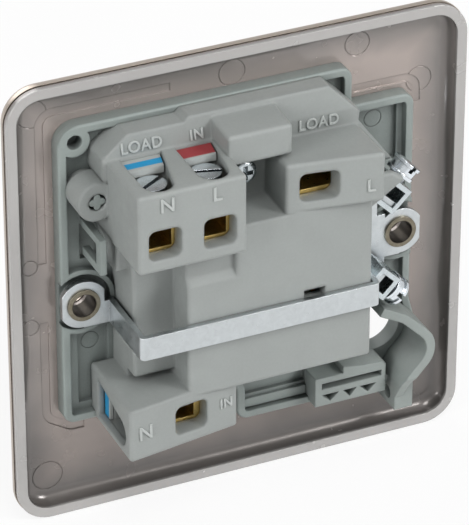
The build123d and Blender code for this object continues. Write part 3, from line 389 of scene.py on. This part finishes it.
load_face = ((-19.4, -2.1), (16.5, 13.7))
supply_face = ((6.5, 28.0), (12.6, 16.0))
mark("letter_l_load", "L", lean_place(-16.9, 19.4, *load_face), 2.3, across=load_lean, material=mark_highlight_grey)
mark(
    "letter_n_supply",
    "N",
    lean_place(25.0, -20.1, *supply_face),
    2.6,
    across=supply_lean,
    material=mark_highlight_grey,
)
mark(
    "word_in_supply",
    "IN",
    lean_place(8.8, -19.4, *supply_face),
    1.8,
    across=supply_lean,
    material=mark_highlight_grey,
    squeeze=0.95,
)


# Screw threads
def thread(name, start, along, radius, length, body, pitch=0.7):
    """A raised thread round a bare shank."""
    along = Vector(along).normalized()
    side = along.orthogonal().normalized()
    other = along.cross(side)
    curve = bpy.data.curves.new(name, "CURVE")
    curve.dimensions = "3D"
    steps = int(length / pitch * 18)
    spline = curve.splines.new("POLY")
    spline.points.add(steps)
    for i in range(steps + 1):
        turn = i / 18 * 2 * math.pi
        rise = length * i / steps
        point = Vector(start) + along * rise + (side * math.cos(turn) + other * math.sin(turn)) * radius
        spline.points[i].co = (*(point * MM), 1)
    curve.bevel_depth = 0.17 * MM
    curve.bevel_resolution = 1
    curve.materials.append(zinc_bright)
    piece = bpy.data.objects.new(name, curve)
    bpy.context.scene.collection.objects.link(piece)
    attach(piece, body)
    return piece


slant = math.sqrt(0.5)
# Each earth screw: its clamp's middle, whether it rises or falls outwards, and how far out its thread starts
for name, clamp_x, clamp_z, rising, outwards in (
    ("upper_earth", -24.9, 12.3, 1, 2.75),
    ("lower_earth", -23.4, -5.1, -1, 2.55),
):
    start = (clamp_x - slant * outwards, 5.5, clamp_z + rising * slant * outwards)
    thread(name + "_thread", start, (-1, 0, rising), 1.55, 0.75, name + "_screw")

# Camera
# Distance from the plate's middle, and how far the photo's middle lies to the right and above, in millimetres
camera_distance = 708.75
camera_right = -1.225
camera_above = 0.358
azimuth = math.radians(155.824)
elevation = math.radians(31.292)
back = Vector(
    (
        math.sin(azimuth) * math.cos(elevation),
        -math.cos(azimuth) * math.cos(elevation),
        math.sin(elevation),
    )
)
right = UP.cross(back).normalized()
above = back.cross(right)
camera_data = bpy.data.cameras.new("camera")
camera_data.lens = 279.18
camera_data.sensor_width = 36
camera_data.clip_start = 0.01
camera_data.clip_end = 20
camera = bpy.data.objects.new("camera", camera_data)
bpy.context.scene.collection.objects.link(camera)
eye = (back * camera_distance + right * camera_right + above * camera_above) * MM
camera.matrix_world = Matrix.Translation(eye) @ Matrix((right, above, back)).transposed().to_4x4()
bpy.context.scene.camera = camera

# Floor, lamps and world
floor_mesh = bpy.data.meshes.new("floor")
reach = 3.0
foot = -0.0431
corners = [(-reach, -reach, foot), (reach, -reach, foot), (reach, reach, foot), (-reach, reach, foot)]
floor_mesh.from_pydata(corners, [], [(0, 1, 2, 3)])
floor = bpy.data.objects.new("floor", floor_mesh)
bpy.context.scene.collection.objects.link(floor)
n = Nodes("floor_white")
n.shader.inputs["Roughness"].default_value = 0.9
floor_tone = n.mix(n.spread(n.noise(40, 2, 0.5), 0, 1), (0.78, 0.78, 0.78), (0.82, 0.82, 0.82))
n.link(floor_tone, n.shader.inputs["Base Color"])
glow = n.tree.nodes.new("ShaderNodeEmission")
path = n.tree.nodes.new("ShaderNodeLightPath")
blend = n.tree.nodes.new("ShaderNodeMixShader")
seen = n.join("MAXIMUM", path.outputs["Is Camera Ray"], path.outputs["Is Transmission Ray"])
seen = n.join("MAXIMUM", seen, path.outputs["Is Glossy Ray"])
n.link(n.join("MULTIPLY", seen, 0.86), blend.inputs[0])
n.link(n.shader.outputs[0], blend.inputs[1])
n.link(glow.outputs[0], blend.inputs[2])
# From below the floor is clear, so that the part's underside can be seen
side = n.tree.nodes.new("ShaderNodeNewGeometry")
clear = n.tree.nodes.new("ShaderNodeBsdfTransparent")
sided = n.tree.nodes.new("ShaderNodeMixShader")
n.link(side.outputs["Backfacing"], sided.inputs[0])
n.link(blend.outputs[0], sided.inputs[1])
n.link(clear.outputs[0], sided.inputs[2])
n.link(sided.outputs[0], n.output.inputs["Surface"])
floor.data.materials.append(n.material)


def lamp(name, place, size, power, colour=(1, 1, 1)):
    """A soft square lamp aimed at the object."""
    data = bpy.data.lights.new(name, "AREA")
    data.energy = power
    data.size = size
    data.color = colour
    piece = bpy.data.objects.new(name, data)
    piece.location = place
    piece.rotation_euler = (Vector((0, 0, 0)) - Vector(place)).to_track_quat("-Z", "Y").to_euler()
    bpy.context.scene.collection.objects.link(piece)


lamp("key", (-0.85, 0.95, 0.7), 0.5, 12.5)
lamp("side", (1.1, 0.45, 0.45), 0.6, 8.0)
lamp("top", (0.15, 0.7, 1.15), 0.5, 6.5)
lamp("room", (0.2, -1.2, 0.6), 0.9, 6.0)

world = bpy.data.worlds.new("studio")
bpy.context.scene.world = world
world.use_nodes = True
tree = world.node_tree
background = tree.nodes["Background"]
white = tree.nodes.new("ShaderNodeBackground")
white.inputs["Color"].default_value = (1, 1, 1, 1)
white.inputs["Strength"].default_value = 1.0
background.inputs["Strength"].default_value = 0.3
sky_place = tree.nodes.new("ShaderNodeTexCoord")
sky_height = tree.nodes.new("ShaderNodeSeparateXYZ")
sky_tone = tree.nodes.new("ShaderNodeMapRange")
sky_tone.inputs["From Min"].default_value = -0.1
sky_tone.inputs["From Max"].default_value = 0.9
sky_tone.inputs["To Min"].default_value = 0.35
sky_tone.inputs["To Max"].default_value = 1.3
tree.links.new(sky_place.outputs["Generated"], sky_height.inputs[0])
tree.links.new(sky_height.outputs["Z"], sky_tone.inputs["Value"])
tree.links.new(sky_tone.outputs["Result"], background.inputs["Color"])
path = tree.nodes.new("ShaderNodeLightPath")
gloss_share = tree.nodes.new("ShaderNodeMath")
gloss_share.operation = "MULTIPLY"
gloss_share.inputs[1].default_value = 0.6
tree.links.new(path.outputs["Is Glossy Ray"], gloss_share.inputs[0])
seen = gloss_share.outputs[0]
for kind in ("Is Camera Ray", "Is Transmission Ray"):
    either = tree.nodes.new("ShaderNodeMath")
    either.operation = "MAXIMUM"
    tree.links.new(path.outputs[kind], either.inputs[0])
    tree.links.new(seen, either.inputs[1])
    seen = either.outputs[0]
mixer = tree.nodes.new("ShaderNodeMixShader")
tree.links.new(seen, mixer.inputs[0])
tree.links.new(background.outputs[0], mixer.inputs[1])
tree.links.new(white.outputs[0], mixer.inputs[2])
tree.links.new(mixer.outputs[0], tree.nodes["World Output"].inputs["Surface"])

bpy.context.scene.view_settings.view_transform = "Standard"
